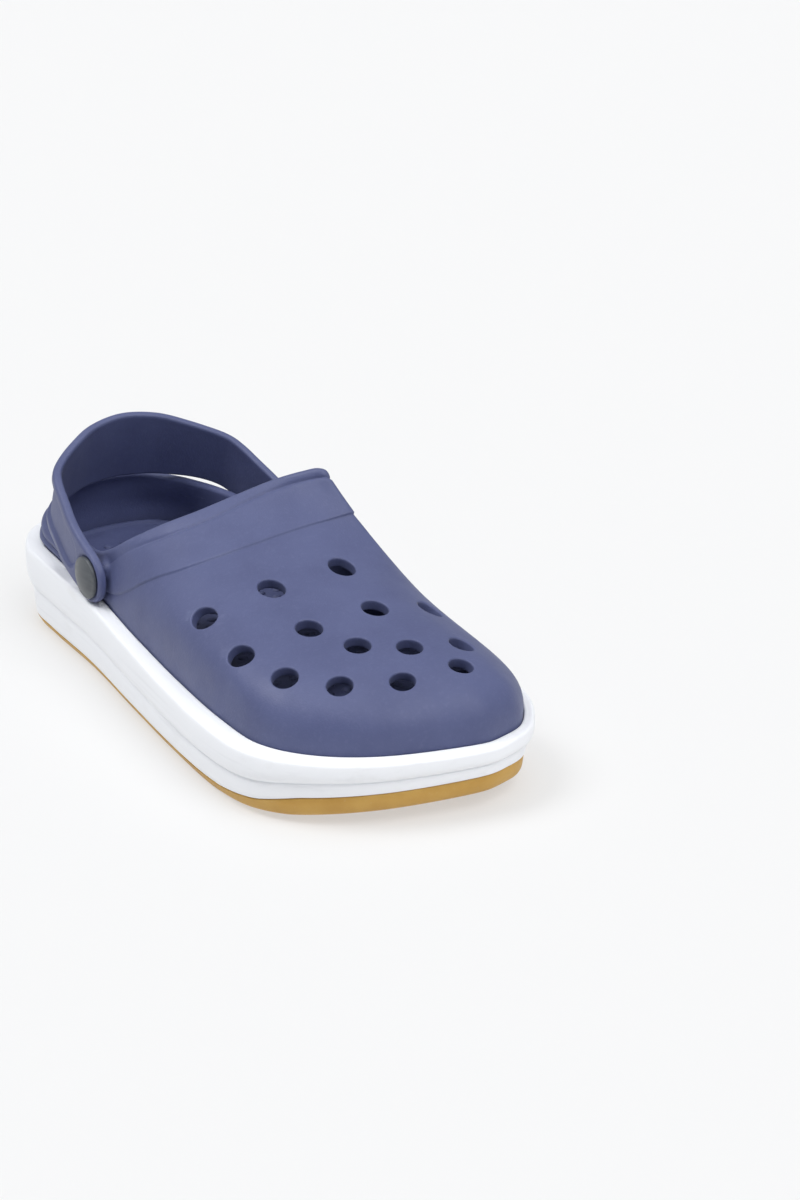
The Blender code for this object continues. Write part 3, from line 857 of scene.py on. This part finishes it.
def strap_relief(from_pivot, half, v):
    """Depth of the strap's outer face and inner face below its plan, row by row."""
    u = np.broadcast_to(from_pivot[:, None], v.shape)
    edge = np.where(u < 0, LOBE_RADIUS - np.hypot(u, v), half[:, None] - np.abs(v))
    edge = np.clip(edge, 0, None)
    short = np.clip(EDGE_ROUNDING - edge, 0, EDGE_ROUNDING)
    rounding = EDGE_ROUNDING - np.sqrt(EDGE_ROUNDING ** 2 - short ** 2)
    crown = CROWN * smoothstep(0, BORDER / 2, edge)
    border = half[:, None] - BORDER
    to_panel = np.where(u < PANEL_START, border - np.hypot(u - PANEL_START, v), border - np.abs(v))
    panel = PANEL_DEPTH * smoothstep(-0.5, 0.8, to_panel)
    seat = SEAT_DEPTH * smoothstep(CAP_RADIUS + 0.75, CAP_RADIUS + 0.2, np.hypot(u, v))
    return rounding + panel + seat + FACE_DEPTH - crown, STRAP_THICKNESS - 0.8 * rounding


def make_strap():
    """Band round the heel: round ends, raised borders, a sunk panel and a seat for each rivet."""
    path, from_pivot = strap_path()
    along = np.gradient(path, axis=0)
    along /= np.linalg.norm(along, axis=1)[:, None]
    inwards = np.stack([along[:, 1], -along[:, 0], np.zeros(len(path))], axis=1)
    grown = ease_line(at(STRAP_HALF_HEIGHT, path[:, 1]))
    round_end = np.sqrt(np.maximum(LOBE_RADIUS ** 2 - from_pivot ** 2, 0))
    half = np.where(from_pivot < 0, round_end, grown)
    spread = np.sin(np.linspace(-np.pi / 2, np.pi / 2, 47))       # rows crowded at the edges
    v = half[:, None] * spread[None, :]
    outer_depth, inner_depth = strap_relief(from_pivot, half, v)
    rows = []
    for depth, order in ((outer_depth, slice(None)), (inner_depth, slice(None, None, -1))):
        face = path[:, None, :] + inwards[:, None, :] * depth[:, :, None]
        face[:, :, 2] += v
        rows.append(face[:, order])
    points, faces = lofted(list(np.concatenate(rows, axis=1)))
    turn = np.array(Matrix.Rotation(STRAP_TILT, 3, "X"))
    points = points @ turn.T + PIVOT
    make_piece("strap_band", points, faces, FOAM["strap"], "strap", ["heel_strap"])


TIP_LENGTH = SOCKET_HEIGHT - 0.6                              # of the stem, past the wall
CAP_RIM = 0.5                # rounding of the cap's edge against the strap
CAP_SHOULDER = 0.7           # rounding between its side and its dome


def cap_profile(face, inner):
    """Outline of a rivet from its tip inside the shoe to the middle of its dome, as (x, radius).
    The cap lies on the strap's face and the wall ends at inner."""
    tip = inner - TIP_LENGTH
    cap = [(tip, 0.02), (tip, 1.9)]
    cap += quarter((tip + 0.6, STEM_RADIUS - 1.0), 0.6, 180, 90, 4)
    cap += [(inner, STEM_RADIUS), (face - 0.3, STEM_RADIUS), (face - 0.3, CAP_RADIUS - CAP_RIM)]
    cap += quarter((face + 0.2, CAP_RADIUS - CAP_RIM), CAP_RIM, 180, 90, 4)
    cap += [(face + 0.7, CAP_RADIUS)]
    top = face + CAP_HEIGHT
    ball = (CAP_RADIUS ** 2 + CAP_HEIGHT ** 2) / (2 * CAP_HEIGHT) * 1.35
    edge = CAP_RADIUS - 0.6
    drop = ball - math.sqrt(ball ** 2 - edge ** 2)
    cap += quarter((top - drop - 0.5, CAP_RADIUS - CAP_SHOULDER), CAP_SHOULDER, 90, 30, 5)
    for share in (0.94, 0.85, 0.72, 0.56, 0.4, 0.25, 0.12, 0.002):
        radius = edge * share
        cap.append((top - (ball - math.sqrt(ball ** 2 - radius ** 2)), radius))
    return cap


def socket_profile(inner):
    """Closed outline of the ring that lies against the wall at inner, as (x, radius)."""
    low = inner - SOCKET_HEIGHT
    ring = [(inner, STEM_RADIUS + GAP), (inner, SOCKET_RADIUS - 0.3),
            (inner - 0.3, SOCKET_RADIUS), (low + 1.0, SOCKET_RADIUS)]
    ring += quarter((low + 1.0, SOCKET_RADIUS - 1.0), 1.0, 90, 180, 6)[1:]
    ring += [(low, STEM_RADIUS + 1.2), (low + 0.35, STEM_RADIUS + 0.8),
             (low + 0.35, STEM_RADIUS + GAP)]
    return ring + ring[:1]


def make_rivets():
    """Domed caps outside and snap sockets inside, on both sides."""
    face = STRAP_INSIDE + STRAP_THICKNESS + GAP
    for side in (-1, 1):
        inner = SOCKET_X[side] - GAP
        points, faces = turned(side, cap_profile(face, inner))
        faces.append(tuple(range(TURNED_SIDES))[::-1])
        make_piece(SIDE_NAME[side] + "_rivet_cap", points, faces, PLASTIC, "shoe",
                   [SIDE_NAME[side] + "_rivet"])
        points, faces = turned(side, socket_profile(inner))
        make_piece(SIDE_NAME[side] + "_snap_socket", points, faces, PLASTIC, "shoe",
                   [SIDE_NAME[side] + "_rivet_socket"])


# Stage

FLOOR_REACH = 15             # from the middle of the floor to its edge, and out to the wall (m)
WALL_DISTANCE = 14.8
FLOOR_GREY = 0.352           # what the floor gives back of the light, and what it adds
FLOOR_GLOW = 0.51
WALL_GLOW = 0.94
WORLD_COLOUR = (0.96, 0.99, 1.05)
WORLD_STRENGTH = 0.33
# Name, azimuth, elevation, strength and angular size of each distant light (degrees)
SUNS = [("key", -115, 58, 1.45, 30), ("top", 120, 75, 0.5, 50), ("front", 10, 52, 1.5, 40)]
VIEW = (-32.5, 22.5)         # azimuth and elevation of the camera (degrees)
AIM = (0.1022, 0.0504, 0)    # middle of the view on the floor (m)
DISTANCE = 1.1435
LENS = 78
SENSOR_HEIGHT = 36


def stage_piece(name, mesh, grey, glow):
    """Matt glowing object from a bmesh."""
    material, shader = shader_of("pale " + name, 0.9)
    shader.inputs["Base Color"].default_value = (grey, grey, grey, 1)
    shader.inputs["Emission Color"].default_value = (1, 1, 1, 1)
    shader.inputs["Emission Strength"].default_value = glow
    shader.inputs["Specular IOR Level"].default_value = 0.0
    data = bpy.data.meshes.new(name)
    mesh.to_mesh(data)
    mesh.free()
    data.materials.append(material)
    item = bpy.data.objects.new(name, data)
    bpy.context.scene.collection.objects.link(item)
    return item


def make_stage():
    """Pale floor, just under the sole, and a pale wall far behind it all round."""
    mesh = bmesh.new()
    bmesh.ops.create_grid(mesh, x_segments=1, y_segments=1, size=FLOOR_REACH)
    floor = stage_piece("floor", mesh, FLOOR_GREY, FLOOR_GLOW)
    floor.location.z = -0.0001
    mesh = bmesh.new()
    bmesh.ops.create_cone(mesh, cap_ends=False, segments=96, radius1=WALL_DISTANCE,
                          radius2=WALL_DISTANCE, depth=40)
    wall = stage_piece("wall", mesh, 0, WALL_GLOW)
    wall.visible_diffuse = wall.visible_glossy = wall.visible_shadow = False


def view_direction(azimuth, elevation):
    """Unit vector from the shoe at an azimuth, 0 ahead of the toe, and an elevation in degrees."""
    a, e = math.radians(azimuth), math.radians(elevation)
    return Vector((math.sin(a) * math.cos(e), -math.cos(a) * math.cos(e), math.sin(e)))


def add_sun(name, azimuth, elevation, strength, size):
    """Soft distant light that comes from an azimuth and elevation."""
    data = bpy.data.lights.new(name, "SUN")
    data.energy = strength
    data.angle = math.radians(size)
    light = bpy.data.objects.new(name, data)
    light.rotation_euler = view_direction(azimuth, elevation).to_track_quat("Z", "Y").to_euler()
    bpy.context.scene.collection.objects.link(light)


def make_light():
    """Even pale surroundings, a key from behind the outer side, and fills from above and ahead."""
    world = bpy.data.worlds.new("studio")
    world.use_nodes = True
    background = world.node_tree.nodes["Background"]
    background.inputs["Color"].default_value = (*WORLD_COLOUR, 1)
    background.inputs["Strength"].default_value = WORLD_STRENGTH
    bpy.context.scene.world = world
    for sun in SUNS:
        add_sun(*sun)


def make_camera():
    """Camera at the picture's viewpoint."""
    data = bpy.data.cameras.new("camera")
    data.sensor_fit = "VERTICAL"
    data.sensor_height = SENSOR_HEIGHT
    data.lens = LENS
    camera = bpy.data.objects.new("camera", data)
    back = view_direction(*VIEW)
    camera.location = Vector(AIM) + back * DISTANCE
    camera.rotation_euler = back.to_track_quat("Z", "Y").to_euler()
    bpy.context.scene.collection.objects.link(camera)
    bpy.context.scene.camera = camera


make_camera()
make_upper()
make_midsole()
make_outsole()
make_footbed()
make_strap()
make_rivets()
make_stage()
make_light()
bpy.context.scene.view_settings.view_transform = "Standard"
